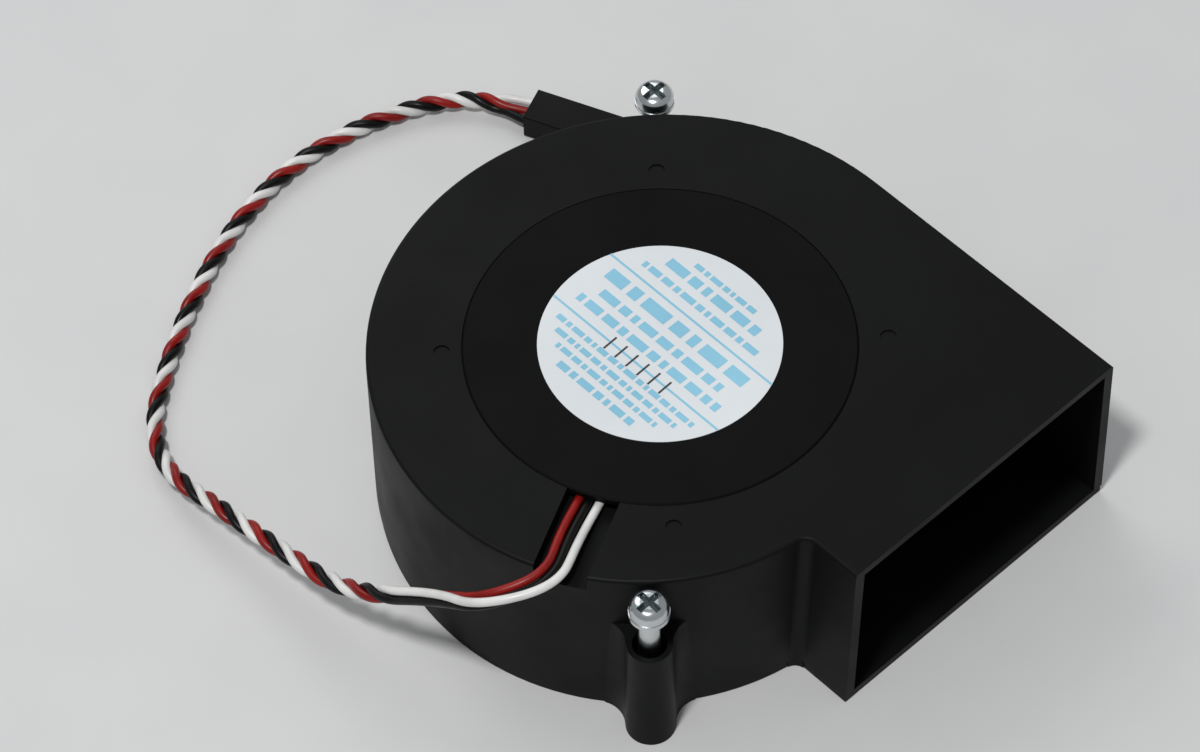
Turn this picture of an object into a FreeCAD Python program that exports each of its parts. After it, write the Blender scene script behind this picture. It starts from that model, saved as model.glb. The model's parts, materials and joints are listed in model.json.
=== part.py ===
"""A direct-current centrifugal blower of the 97 by 33 mm class, with its two captive screws and its lead.

Millimetres. The origin is on the impeller's axis in the base plane, +Z points to the motor side, and air
leaves the duct along +X. The blower lies on its inlet side, as it is drawn here.
"""

import FreeCAD, Part
import math
import os
import re

import Sketcher

Vector = FreeCAD.Vector

# Driving sizes
SIZES = {
    # casing
    "casing_height": 33.0,
    "cover_thickness": 1.5,
    "cover_step": 0.15,
    "plate_thickness": 1.4,
    "wall_thickness": 1.8,
    "scroll_radius": 46.4,
    "scroll_across": 0.6,
    "scroll_along": 0.5,
    "tongue_inset": 5.2,
    "duct_length": 10.2,
    "duct_near": 9.5,
    "duct_lean": 1.4,
    "corner_round": 2.0,
    "edge_round": 0.6,
    "inlet_inset": 7.7,
    "inlet_lip_height": 1.3,
    "inlet_lip_thickness": 1.2,
    "fit_gap": 0.1,
    # screw bosses
    "boss_radius": 3.95,
    "boss_drop": 11.0,
    "boss_taper": 1.0,
    "boss_flare": 4.5,
    "flare_sink": 0.05,
    "boss_bore": 2.7,
    "neck_length": 2.5,
    "front_boss_angle": 42.5,
    "front_boss_standoff": 3.6,
    "back_boss_angle": 137.7,
    "back_boss_standoff": 4.6,
    # wire channel and moulding marks
    "channel_angle": 63.5,
    "channel_width": 8.5,
    "channel_depth": 3.0,
    "trough_wall": 1.2,
    "dent_radius": 1.3,
    "dent_depth": 0.25,
    "dent_circle": 34.6,
    "dent_angle": 42.0,
    # motor plate and label
    "opening_radius": 25.5,
    "plate_seat": 5.2,
    "motor_plate_thickness": 1.2,
    "rebate_depth": 1.0,
    "label_radius": 19.05,
    "label_thickness": 0.1,
    # bearings, shaft and tube
    "shaft_radius": 1.5,
    "shaft_drop": 1.0,
    "shaft_chamfer": 0.3,
    "bearing_radius": 4.0,
    "bearing_width": 4.0,
    "bearing_recess": 0.6,
    "bearing_drop": 2.6,
    "ring_thickness": 0.7,
    "ball_clearance": 0.075,
    "ball_count": 7,
    "tube_wall": 1.2,
    "tube_shoulder": 0.7,
    "tube_lift": 0.5,
    "tube_flange_radius": 7.5,
    "tube_flange_thickness": 1.0,
    "clip_thickness": 0.5,
    "clip_radius": 2.7,
    "groove_depth": 0.3,
    # stator
    "stack_lift": 3.0,
    "coil_head": 6.4,
    "core_ring": 1.8,
    "arm_width": 4.0,
    "shoe_thickness": 2.2,
    "stator_radius": 17.3,
    "slot_width": 3.2,
    "insulator_thickness": 1.2,
    "coil_gap": 1.0,
    "coil_thickness": 2.0,
    "post_radius": 0.7,
    "pin_radius": 0.32,
    "pin_stand": 0.8,
    # circuit board and its parts
    "board_drop": 2.0,
    "board_thickness": 1.6,
    "board_gap": 3.5,
    "chip_length": 5.0,
    "chip_width": 6.2,
    "chip_height": 1.5,
    "chip_across": 12.0,
    "chip_along": 6.0,
    "capacitor_length": 3.2,
    "capacitor_width": 1.6,
    "capacitor_across": 6.0,
    "capacitor_along": 13.0,
    "resistor_length": 2.0,
    "resistor_width": 1.25,
    "resistor_height": 0.6,
    "resistor_pitch": 4.0,
    "resistor_along": 14.0,
    "sensor_length": 4.0,
    "sensor_width": 1.5,
    "sensor_height": 1.6,
    # rotor
    "air_gap": 0.6,
    "magnet_thickness": 2.0,
    "magnet_lift": 2.4,
    "magnet_drop": 1.0,
    "cup_thickness": 1.0,
    "cup_lift": 1.6,
    "cup_drop": 2.4,
    "rotor_boss_radius": 3.8,
    "rotor_boss_height": 2.9,
    "rotor_boss_step": 1.0,
    "hub_wall": 1.5,
    "hub_nose": 1.4,
    "disc_thickness": 1.5,
    "scroll_gap": 5.9,
    "ring_lift": 1.2,
    "ring_width": 1.7,
    "ring_height": 1.4,
    "blade_reach": 6.9,
    "blade_inset": 0.2,
    "blade_thickness": 0.8,
    "blade_curve": 6.2,
    "blade_sweep": 34.0,
    "blade_count": 35,
    # captive screws
    "shank_radius": 1.75,
    "screw_stand": 8.0,
    "point_chamfer": 0.4,
    "washer_radius": 3.2,
    "washer_thickness": 0.8,
    "head_radius": 3.1,
    "head_height": 2.4,
    "head_round": 1.7,
    "recess_width": 1.1,
    "recess_length": 4.3,
    "recess_depth": 1.5,
    "running_gap": 0.1,
    # lead and plug
    "wire_radius": 0.7,
    "twist_radius": 1.6,
    "plug_length": 19.0,
    "plug_wall": 0.6,
    "plug_height": 5.2,
    "plug_round": 0.5,
    "contact_pitch": 2.0,
    "contact_size": 1.2,
    "contact_depth": 7.0,
}

# Plan sizes that follow from them, as formulas
TONGUE_RADIUS = "(scroll_radius - tongue_inset)"
OUTLET_REACH = f"(scroll_across + {TONGUE_RADIUS} + duct_length)"
DUCT_FOOT = "(duct_near + duct_lean)"
MOTOR_PLATE_RADIUS = "(opening_radius + plate_seat)"
TUBE_RADIUS = "(bearing_radius + tube_wall)"
BALL_RADIUS = "((bearing_radius - shaft_radius) / 2 - ring_thickness * 0.65 - ball_clearance)"
CORE_RING_RADIUS = f"({TUBE_RADIUS} + core_ring)"
COIL_START = f"({CORE_RING_RADIUS} + coil_gap)"
COIL_END = "(stator_radius - shoe_thickness - coil_gap * 1.5)"
MAGNET_INNER = "(stator_radius + air_gap)"
CUP_INNER = f"({MAGNET_INNER} + magnet_thickness)"
CUP_OUTER = f"({CUP_INNER} + cup_thickness)"
HUB_RADIUS = f"({CUP_OUTER} + hub_wall)"
IMPELLER_RADIUS = "(scroll_radius - wall_thickness - scroll_gap)"
INLET_RADIUS = f"({IMPELLER_RADIUS} - inlet_inset)"
BLADE_OUTER = f"({IMPELLER_RADIUS} - blade_inset)"
BLADE_INNER = f"({BLADE_OUTER} - blade_reach)"
NECK_RADIUS = "(shank_radius + running_gap)"
PLUG_WIDTH = "(contact_pitch * 2 + contact_size + (fit_gap + plug_wall) * 2)"

# Heights above the base, from the inlet cover up
IMPELLER_LOW = "(cover_thickness + inlet_lip_height + ring_lift)"
CUP_LOW = f"({IMPELLER_LOW} + cup_lift)"
CUP_FLOOR = f"({CUP_LOW} + cup_thickness)"
ROTOR_BOSS_TOP = f"({CUP_FLOOR} + rotor_boss_height)"
TUBE_LOW = f"({ROTOR_BOSS_TOP} + tube_lift)"
LOWER_BEARING = f"({TUBE_LOW} + bearing_recess)"
STACK_LOW = f"({TUBE_LOW} + stack_lift)"
MAGNET_LOW = f"({CUP_FLOOR} + magnet_lift)"
# And from the motor side down
PLATE_LOW = "(casing_height - plate_thickness)"
CHANNEL_FLOOR = "(casing_height - channel_depth)"
BOSS_HEIGHT = "(casing_height - boss_drop)"
SCREW_LENGTH = f"({BOSS_HEIGHT} + screw_stand)"
SEAT_TOP = "(casing_height - rebate_depth)"
LABEL_LOW = f"({SEAT_TOP} + motor_plate_thickness)"
BOARD_TOP = f"({SEAT_TOP} - board_drop)"
BOARD_LOW = f"({BOARD_TOP} - board_thickness)"
STACK_TOP = f"({BOARD_LOW} - coil_head)"
CUP_TOP = f"({BOARD_LOW} - cup_drop)"
DISC_LOW = f"({CUP_TOP} - disc_thickness)"
MAGNET_TOP = f"({CUP_TOP} - magnet_drop)"
UPPER_BEARING = f"({SEAT_TOP} - bearing_drop - bearing_width)"
SHAFT_TOP = f"({SEAT_TOP} - shaft_drop)"
STACK_HEIGHT = f"({STACK_TOP} - {STACK_LOW})"

# Routes of the three wires, from the board through the channel and over the rim to the twist
RED_ROUTE = [
    (6.1, -15.9, 30.7),
    (8.8, -21.8, 30.8),
    (11.4, -28.1, 31.0),
    (15.0, -35.9, 32.3),
    (19.3, -42.7, 33.3),
    (14.3, -51.6, 30.9),
    (7.2, -52.5, 25.5),
    (-0.2, -54.1, 19.6),
]
BLACK_ROUTE = [
    (7.6, -15.2, 30.7),
    (10.3, -21.2, 30.8),
    (12.9, -27.5, 31.0),
    (16.4, -35.2, 32.3),
    (20.9, -42.8, 32.9),
    (15.5, -52.5, 30.0),
    (7.5, -54.0, 25.5),
    (0.1, -55.6, 19.6),
]
WHITE_ROUTE = [
    (9.1, -14.5, 30.7),
    (11.8, -20.6, 30.8),
    (14.4, -26.9, 31.0),
    (17.8, -34.5, 32.3),
    (22.5, -43.0, 33.7),
    (15.3, -53.6, 31.7),
    (6.6, -53.4, 26.5),
    (-0.8, -55.0, 20.6),
]
# The twisted part, down to the floor and round to the plug
TWISTED_ROUTE = [
    (-0.3, -54.9, 19.9),
    (-10.7, -57.1, 11.6),
    (-26.0, -57.5, 8.3),
    (-40.5, -58.0, 5.8),
    (-53.0, -58.5, 3.3),
    (-62.5, -53.5, 1.8),
    (-70.5, -43.0, 1.7),
    (-78.0, -30.5, 1.7),
    (-84.0, -17.0, 1.7),
    (-87.0, -2.5, 1.7),
    (-85.5, 11.5, 1.7),
    (-81.0, 23.5, 1.9),
    (-74.7, 31.0, 2.6),
    (-66.6, 34.4, 2.6),
]

doc = FreeCAD.newDocument("blower")
sheet = doc.addObject("Spreadsheet::Sheet", "dims")
for row, (alias, value) in enumerate(SIZES.items(), 1):
    sheet.set(f"A{row}", alias)
    sheet.set(f"B{row}", str(value))
    sheet.setAlias(f"B{row}", alias)
doc.recompute()

nodes = []


def value(formula):
    """What a formula comes to, in the sheet's own arithmetic."""
    found = sheet.evalExpression(formula)
    return float(getattr(found, "Value", found))


def bound(formula):
    """The formula with each size looked up in the sheet."""
    return re.sub(r"[a-z_]+[0-9]?", lambda word: ("dims." if word[0] in SIZES else "") + word[0], formula)


def keep(node):
    """Marks a finished sub-part, whose label names its file."""
    nodes.append(node)
    return node


# Sketches and features
def body(label):
    made = doc.addObject("PartDesign::Body", label)
    made.Label = label
    return keep(made)


def sketch(owner, name, plane="XY_Plane", height="0", across="0", along="0"):
    made = owner.newObject("Sketcher::SketchObject", name)
    support = next(p for p in owner.Origin.OriginFeatures if p.Role == plane)
    made.AttachmentSupport = [(support, "")]
    made.MapMode = "FlatFace"
    made.setExpression("AttachmentOffset.Base.x", bound(across))
    made.setExpression("AttachmentOffset.Base.y", bound(along))
    made.setExpression("AttachmentOffset.Base.z", bound(height))
    return made


def constrain(made, formula, *constraint):
    """Adds a constraint whose value is the formula's."""
    place = made.addConstraint(Sketcher.Constraint(*constraint))
    made.setExpression(f"Constraints[{place}]", bound(formula))


def polygon(made, corners):
    """A closed outline through corners, each a pair of formulas."""
    count = len(corners)
    first = made.GeometryCount
    turn = 2 * math.pi / count
    start = [Vector(3 * math.cos(turn * i), 3 * math.sin(turn * i), 0) for i in range(count)]
    for i in range(count):
        made.addGeometry(Part.LineSegment(start[i], start[(i + 1) % count]), False)
    for i in range(count):
        made.addConstraint(
            Sketcher.Constraint("Coincident", first + i, 2, first + (i + 1) % count, 1)
        )
    for i, (across, up) in enumerate(corners):
        constrain(made, across, "DistanceX", first + i, 1, start[i].x)
        constrain(made, up, "DistanceY", first + i, 1, start[i].y)
    return made


def rectangle(made, left, right, low, high):
    return polygon(made, [(left, low), (right, low), (right, high), (left, high)])


def circle(made, radius, across="0", along="0"):
    place = made.addGeometry(Part.Circle(Vector(1, 1, 0), Vector(0, 0, 1), 2), False)
    constrain(made, across, "DistanceX", place, 3, 1.0)
    constrain(made, along, "DistanceY", place, 3, 1.0)
    constrain(made, radius, "Radius", place, 2.0)
    return made


def pad(owner, name, profile, length):
    made = owner.newObject("PartDesign::Pad", name)
    made.Profile = profile
    made.setExpression("Length", bound(length))
    return made


def pocket(owner, name, profile, length):
    """Cuts down from the sketch's plane."""
    made = owner.newObject("PartDesign::Pocket", name)
    made.Profile = profile
    made.setExpression("Length", bound(length))
    return made


def turned(owner, name, corners):
    """A solid of revolution about Z; corners are (radius, height) formulas."""
    profile = polygon(sketch(owner, name + "_profile", "XZ_Plane"), corners)
    made = owner.newObject("PartDesign::Revolution", name)
    made.Profile = profile
    made.ReferenceAxis = (profile, ["V_Axis"])
    made.Angle = 360
    return made


def around(owner, name, features, profile, count):
    """Repeats features evenly about the profile's own normal axis."""
    made = owner.newObject("PartDesign::PolarPattern", name)
    made.Originals = features
    made.Axis = (profile, ["N_Axis"])
    made.Angle = 360
    made.setExpression("Occurrences", bound(count))
    owner.Tip = made
    return made


def upright_edges(shape, place, reach):
    """The names of the edges that climb from a foot within reach of a point of the plan."""
    found = []
    for i, edge in enumerate(shape.Edges, 1):
        ends = sorted((v.Point for v in edge.Vertexes), key=lambda point: point.z)
        if len(ends) == 2 and ends[1].z - ends[0].z > reach * 10:
            if math.hypot(ends[0].x - place[0], ends[0].y - place[1]) < reach:
                found.append(f"Edge{i}")
    return found


def rounded(owner, name, base, edges, radius):
    made = owner.newObject("PartDesign::Fillet", name)
    made.Base = (base, edges)
    made.setExpression("Radius", bound(radius))
    return made


def tubular(label, rings):
    """A turned node from (inner radius, outer radius, low, high) formulas, joined in one solid."""
    made = body(label)
    for i, (inner, outer, low, high) in enumerate(rings):
        turned(made, f"{label}_ring_{i}", [(inner, low), (outer, low), (outer, high), (inner, high)])
    return made


def placed(shape, x="0", y="0", z="0", turn="0"):
    """Binds an object's place, and its turn about Z in degrees."""
    shape.setExpression("Placement.Base.x", bound(x))
    shape.setExpression("Placement.Base.y", bound(y))
    shape.setExpression("Placement.Base.z", bound(z))
    shape.Placement.Rotation = FreeCAD.Rotation(Vector(0, 0, 1), 0)
    shape.setExpression("Placement.Rotation.Angle", bound(turn))
    return shape


def box(name, length, width, height, **where):
    """A box centred on its place in plan, standing on its height."""
    made = doc.addObject("Part::Box", name)
    made.setExpression("Length", bound(length))
    made.setExpression("Width", bound(width))
    made.setExpression("Height", bound(height))
    x, y = where.pop("x", "0"), where.pop("y", "0")
    return placed(made, f"{x} - ({length}) / 2", f"{y} - ({width}) / 2", **where)


def rod(name, radius, height, **where):
    made = doc.addObject("Part::Cylinder", name)
    made.setExpression("Radius", bound(radius))
    made.setExpression("Height", bound(height))
    return placed(made, **where)


def group(label, members):
    """Identical pieces that share one node, as separate solids."""
    made = doc.addObject("Part::Compound", label)
    made.Label = label
    made.Links = members
    return keep(made)


def polar(circle_radius, angle):
    """The plan formulas of a point on a circle about the axis."""
    return f"({circle_radius}) * cos({angle})", f"({circle_radius}) * sin({angle})"


# Casing outline: a straight wall, the main arc, the arc up to the tongue, the duct's near wall, the mouth
def duct_corner(near):
    """Where the arc up to the tongue meets the duct's near wall, and the middle of that arc."""
    tongue = value(TONGUE_RADIUS)
    middle = Vector(value("scroll_across"), value("scroll_along") - value("tongue_inset"), 0)
    return Vector(middle.x + math.sqrt(tongue**2 - (near + middle.y) ** 2), -near, 0), middle


def outline(owner, name, height, inset="0", mouth="0", near="duct_near"):
    made = sketch(owner, name, height=height)
    main, tongue = value("scroll_radius"), value(TONGUE_RADIUS)
    far, wall = value(OUTLET_REACH), value(near)
    centre = Vector(value("scroll_across"), value("scroll_along"), 0)
    corner, middle = duct_corner(wall)
    up = Vector(0, 0, 1)
    corner_angle = math.atan2(corner.y - middle.y, corner.x - middle.x)
    top_start = Vector(centre.x, centre.y + main, 0)
    top_end = Vector(far, centre.y + main, 0)
    made.addGeometry(Part.LineSegment(top_end, top_start), False)
    made.addGeometry(
        Part.ArcOfCircle(Part.Circle(centre, up, main), math.pi / 2, math.pi * 3 / 2), False
    )
    made.addGeometry(
        Part.ArcOfCircle(Part.Circle(middle, up, tongue), -math.pi / 2, corner_angle), False
    )
    made.addGeometry(Part.LineSegment(corner, Vector(far, -wall, 0)), False)
    made.addGeometry(Part.LineSegment(Vector(far, -wall, 0), top_end), False)
    for joint in [
        ("Tangent", 0, 2, 1, 1),
        ("Tangent", 1, 2, 2, 1),
        ("Coincident", 2, 2, 3, 1),
        ("Coincident", 3, 2, 4, 1),
        ("Coincident", 4, 2, 0, 1),
        ("Horizontal", 0),
        ("Horizontal", 3),
        ("Vertical", 4),
    ]:
        made.addConstraint(Sketcher.Constraint(*joint))
    constrain(made, "scroll_across", "DistanceX", 1, 3, centre.x)
    constrain(made, "scroll_along", "DistanceY", 1, 3, centre.y)
    constrain(made, f"scroll_radius - ({inset})", "Radius", 1, main)
    constrain(made, "scroll_across", "DistanceX", 1, 2, centre.x)
    constrain(made, f"{TONGUE_RADIUS} - ({inset})", "Radius", 2, tongue)
    constrain(made, f"({inset}) - ({near})", "DistanceY", 3, 1, -wall)
    constrain(made, f"{OUTLET_REACH} + ({mouth})", "DistanceX", 3, 2, far)
    return made


def along_channel(owner, name, height, half_width, inner, outer):
    """A rectangle that lies along the wire channel, between two distances from the axis."""
    made = sketch(owner, name, height=height)
    corners = []
    for reach, side in [(inner, "-"), (outer, "-"), (outer, ""), (inner, "")]:
        corners.append(
            (
                f"({reach}) * cos(channel_angle) + ({side}({half_width})) * sin(channel_angle)",
                f"-({reach}) * sin(channel_angle) + ({side}({half_width})) * cos(channel_angle)",
            )
        )
    return polygon(made, corners)


# The curved wall that each boss stands on: its radius and how far along its middle lies
WALLS = {
    "front": (TONGUE_RADIUS, "(scroll_along - tongue_inset)"),
    "back": ("scroll_radius", "scroll_along"),
}
FRONT_OUT = f"({TONGUE_RADIUS} + front_boss_standoff)"
BACK_OUT = "(scroll_radius + back_boss_standoff)"
BOSSES = {
    "front": (
        f"(scroll_across + {FRONT_OUT} * cos(front_boss_angle))",
        f"(scroll_along - tongue_inset - {FRONT_OUT} * sin(front_boss_angle))",
    ),
    "back": (
        f"(scroll_across + {BACK_OUT} * cos(back_boss_angle))",
        f"(scroll_along + {BACK_OUT} * sin(back_boss_angle))",
    ),
}


def boss_plan(owner, side):
    """A boss's foot: its own round, and the two hollow flares that lead from it to the curved wall."""
    across, along = BOSSES[side]
    wall, middle = WALLS[side]
    reach = f"({wall} + boss_flare - flare_sink)"
    far = f"sqrt(({across} - scroll_across)^2 + ({along} - {middle})^2)"
    heading = f"atan2({along} - {middle}; {across} - scroll_across)"
    opening = f"acos(({reach}^2 + {far}^2 - (boss_radius + boss_flare)^2) / (2 * {reach} * {far}))"
    made = sketch(owner, side + "_boss_plan")
    up = Vector(0, 0, 1)
    foot = Vector(value(across), value(along), 0)
    ends = []
    for sign in ("-", "+"):
        turn = f"({heading} {sign} {opening})"
        angle = math.radians(value(turn))
        out = Vector(math.cos(angle), math.sin(angle), 0)
        centre = Vector(value("scroll_across"), value(middle), 0) + out * value(reach)
        inward = foot - centre
        ends.append((turn, centre, math.atan2(-out.y, -out.x), math.atan2(inward.y, inward.x)))
    touch = [math.atan2(c.y - foot.y, c.x - foot.x) for _, c, _, _ in ends]
    flare = value("boss_flare")
    made.addGeometry(
        Part.ArcOfCircle(Part.Circle(foot, up, value("boss_radius")), touch[0], touch[1]), False
    )
    made.addGeometry(
        Part.ArcOfCircle(Part.Circle(ends[0][1], up, flare), ends[0][3], ends[0][2]), False
    )
    made.addGeometry(
        Part.ArcOfCircle(Part.Circle(ends[1][1], up, flare), ends[1][2], ends[1][3]), False
    )
    sunk = [e[1] + Vector(math.cos(e[2]), math.sin(e[2]), 0) * flare for e in ends]
    made.addGeometry(Part.LineSegment(sunk[0], sunk[1]), False)
    for joint in [
        ("Tangent", 0, 1, 1, 1),
        ("Tangent", 0, 2, 2, 2),
        ("Coincident", 1, 2, 3, 1),
        ("Coincident", 2, 1, 3, 2),
    ]:
        made.addConstraint(Sketcher.Constraint(*joint))
    constrain(made, across, "DistanceX", 0, 3, foot.x)
    constrain(made, along, "DistanceY", 0, 3, foot.y)
    constrain(made, "boss_radius", "Radius", 0, value("boss_radius"))
    for arc, (turn, centre, _, _), end in [(1, ends[0], 2), (2, ends[1], 1)]:
        constrain(made, f"scroll_across + {reach} * cos{turn}", "DistanceX", arc, 3, centre.x)
        constrain(made, f"{middle} + {reach} * sin{turn}", "DistanceY", arc, 3, centre.y)
        deep = f"{middle} + ({wall} - flare_sink) * sin{turn}"
        constrain(made, deep, "DistanceY", arc, end, value(deep))
    return made


def leaning(owner, name, start, high, inset="0"):
    """The triangle, across the duct, by which its near wall leans out towards the base."""
    plan = sketch(owner, name, "YZ_Plane", height=start)
    near = f"({inset}) - duct_near"
    return polygon(plan, [(near, high), (f"{near} - duct_lean", "0"), (near, "0")])


def make_housing():
    """The scroll, duct, motor-side plate and screw bosses, moulded in one."""
    made = body("housing")
    pad(made, "scroll_block", outline(made, "scroll_outline", "0"), "casing_height")
    lean_length = "(duct_length + duct_lean * 1.5)"
    lean = leaning(made, "duct_lean_plan", f"{OUTLET_REACH} - {lean_length}", "casing_height")
    pad(made, "duct_lean_wall", lean, lean_length)
    for side in BOSSES:
        last = pad(made, side + "_boss", boss_plan(made, side), BOSS_HEIGHT)
        last.setExpression("TaperAngle", bound("-boss_taper"))
    doc.recompute()
    corner, _ = duct_corner(value(DUCT_FOOT))
    edges = upright_edges(last.Shape, (corner.x, corner.y), 0.5)
    last = rounded(made, "duct_corner", last, edges, "corner_round")
    doc.recompute()
    top, reach = value("casing_height"), value(OUTLET_REACH)
    rim = []
    for i, edge in enumerate(last.Shape.Edges, 1):
        level = all(abs(v.Z - top) < 1e-4 for v in edge.Vertexes)
        if level and abs(edge.CenterOfMass.z - top) < 1e-4 and edge.CenterOfMass.x < reach - 1e-4:
            rim.append(f"Edge{i}")
    rounded(made, "rim_round", last, rim, "edge_round")
    seat_plan = outline(made, "cover_seat_outline", "cover_thickness", near=DUCT_FOOT)
    pocket(made, "cover_seat", seat_plan, "cover_thickness")
    cavity = outline(made, "cavity_outline", PLATE_LOW, "wall_thickness", "wall_thickness")
    pocket(made, "cavity", cavity, PLATE_LOW)
    lean = leaning(
        made, "cavity_lean_plan", f"{OUTLET_REACH} + wall_thickness", PLATE_LOW, "wall_thickness"
    )
    pocket(made, "cavity_lean", lean, "duct_length + wall_thickness * 2.5")
    trough = along_channel(
        made,
        "trough_plan",
        f"{CHANNEL_FLOOR} - trough_wall",
        "channel_width / 2 + trough_wall",
        "opening_radius - trough_wall",
        "scroll_radius - wall_thickness",
    )
    pad(made, "trough", trough, f"{PLATE_LOW} - {CHANNEL_FLOOR} + trough_wall")
    hole = circle(sketch(made, "opening_circle", height="casing_height"), "opening_radius")
    pocket(made, "motor_opening", hole, "casing_height / 3")
    seat = circle(
        sketch(made, "seat_circle", height="casing_height"), f"{MOTOR_PLATE_RADIUS} + fit_gap"
    )
    pocket(made, "motor_plate_seat", seat, "rebate_depth")
    slot = along_channel(
        made,
        "channel_plan",
        "casing_height",
        "channel_width / 2",
        "opening_radius - trough_wall * 2",
        "scroll_radius + wall_thickness",
    )
    pocket(made, "wire_channel", slot, "channel_depth")
    mark = sketch(
        made, "dent_circle_plan", height="casing_height", across="scroll_across", along="scroll_along"
    )
    circle(mark, "dent_radius", "dent_circle * cos(dent_angle)", "-dent_circle * sin(dent_angle)")
    dent = pocket(made, "moulding_dent", mark, "dent_depth")
    around(made, "moulding_dents", [dent], mark, "4")
    for side, (across, along) in BOSSES.items():
        bore = circle(
            sketch(made, side + "_bore_plan", height=BOSS_HEIGHT), "boss_bore", across, along
        )
        pocket(made, side + "_bore", bore, f"{BOSS_HEIGHT} - neck_length")
        neck = circle(
            sketch(made, side + "_neck_plan", height=BOSS_HEIGHT), NECK_RADIUS, across, along
        )
        pocket(made, side + "_neck", neck, f"{BOSS_HEIGHT} * 1.1")


def make_inlet_cover():
    """The base plate, seated in the casing's step, with the inlet and its lip."""
    made = body("inlet_cover")
    plate = outline(made, "cover_outline", "0", "cover_step", "-cover_step", DUCT_FOOT)
    pad(made, "cover_plate", plate, "cover_thickness")
    lip = circle(
        sketch(made, "inlet_lip_plan", height="cover_thickness"),
        f"{INLET_RADIUS} + inlet_lip_thickness",
    )
    pad(made, "inlet_lip", lip, "inlet_lip_height")
    inlet = circle(
        sketch(made, "inlet_plan", height="cover_thickness + inlet_lip_height"), INLET_RADIUS
    )
    pocket(made, "inlet", inlet, "cover_thickness * 2 + inlet_lip_height")


def make_motor_plate():
    made = body("motor_plate")
    edge = "motor_plate_thickness * 0.2"
    turned(
        made,
        "motor_disc",
        [
            ("0", SEAT_TOP),
            (MOTOR_PLATE_RADIUS, SEAT_TOP),
            (MOTOR_PLATE_RADIUS, f"{LABEL_LOW} - {edge}"),
            (f"{MOTOR_PLATE_RADIUS} - {edge}", LABEL_LOW),
            ("0", LABEL_LOW),
        ],
    )


def make_label():
    tubular("label", [("0", "label_radius", LABEL_LOW, f"{LABEL_LOW} + label_thickness")])


def make_bearing_tube():
    """The tube that carries both bearings and the stator, with a shoulder between the bearings."""
    made = body("bearing_tube")
    lower_seat = f"{LOWER_BEARING} + bearing_width"
    turned(
        made,
        "tube",
        [
            (TUBE_RADIUS, TUBE_LOW),
            (TUBE_RADIUS, f"{SEAT_TOP} - tube_flange_thickness"),
            ("tube_flange_radius", f"{SEAT_TOP} - tube_flange_thickness"),
            ("tube_flange_radius", SEAT_TOP),
            ("bearing_radius", SEAT_TOP),
            ("bearing_radius", UPPER_BEARING),
            ("bearing_radius - tube_shoulder", UPPER_BEARING),
            ("bearing_radius - tube_shoulder", lower_seat),
            ("bearing_radius", lower_seat),
            ("bearing_radius", TUBE_LOW),
        ],
    )


def make_bearings():
    """Two ball bearings: outer rings in the tube, inner rings on the shaft, seven balls in each."""
    groove = "ring_thickness * 0.35"
    for place, low in [("lower", LOWER_BEARING), ("upper", UPPER_BEARING)]:
        high = f"{low} + bearing_width"
        middle = f"{low} + bearing_width / 2"
        turned(
            body(place + "_bearing_outer"),
            place + "_outer_ring",
            [
                ("bearing_radius", low),
                ("bearing_radius", high),
                ("bearing_radius - ring_thickness", high),
                ("bearing_radius - ring_thickness", f"{middle} + {BALL_RADIUS}"),
                (f"bearing_radius - ring_thickness + {groove}", middle),
                ("bearing_radius - ring_thickness", f"{middle} - {BALL_RADIUS}"),
                ("bearing_radius - ring_thickness", low),
            ],
        )
        turned(
            body(place + "_bearing_inner"),
            place + "_inner_ring",
            [
                ("shaft_radius", low),
                ("shaft_radius + ring_thickness", low),
                ("shaft_radius + ring_thickness", f"{middle} - {BALL_RADIUS}"),
                (f"shaft_radius + ring_thickness - {groove}", middle),
                ("shaft_radius + ring_thickness", f"{middle} + {BALL_RADIUS}"),
                ("shaft_radius + ring_thickness", high),
                ("shaft_radius", high),
            ],
        )
        balls = []
        for i in range(SIZES["ball_count"]):
            ball = doc.addObject("Part::Sphere", f"{place}_ball_{i}")
            ball.setExpression("Radius", bound(BALL_RADIUS))
            x, y = polar("(bearing_radius + shaft_radius) / 2", f"360 / ball_count * {i}")
            balls.append(placed(ball, x, y, middle))
        group(place + "_bearing_balls", balls)


def make_stator_core():
    """Laminated core: a ring, four arms and four pole shoes."""
    made = body("stator_core")
    ring = circle(sketch(made, "core_ring_plan", height=STACK_LOW), CORE_RING_RADIUS)
    pad(made, "core_ring_pad", ring, STACK_HEIGHT)
    arm_plan = rectangle(
        sketch(made, "arm_plan", height=STACK_LOW),
        TUBE_RADIUS,
        "stator_radius - shoe_thickness / 2",
        "-arm_width / 2",
        "arm_width / 2",
    )
    arm = pad(made, "arm", arm_plan, STACK_HEIGHT)
    around(made, "arms", [arm], arm_plan, "4")
    shoe = sketch(made, "shoe_plan", height=STACK_LOW)
    circle(shoe, "stator_radius")
    circle(shoe, "stator_radius - shoe_thickness")
    pad(made, "shoes", shoe, STACK_HEIGHT)
    gap_plan = sketch(made, "gap_plan", height=STACK_TOP)
    gap_plan.AttachmentOffset.Rotation = FreeCAD.Rotation(Vector(0, 0, 1), 45)
    rectangle(
        gap_plan,
        "stator_radius - shoe_thickness * 2",
        "stator_radius + shoe_thickness",
        "-slot_width / 2",
        "slot_width / 2",
    )
    gap = pocket(made, "gap", gap_plan, STACK_HEIGHT)
    around(made, "gaps", [gap], gap_plan, "4")
    bore = circle(sketch(made, "core_bore_plan", height=STACK_TOP), TUBE_RADIUS)
    pocket(made, "core_bore", bore, STACK_HEIGHT)


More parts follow.
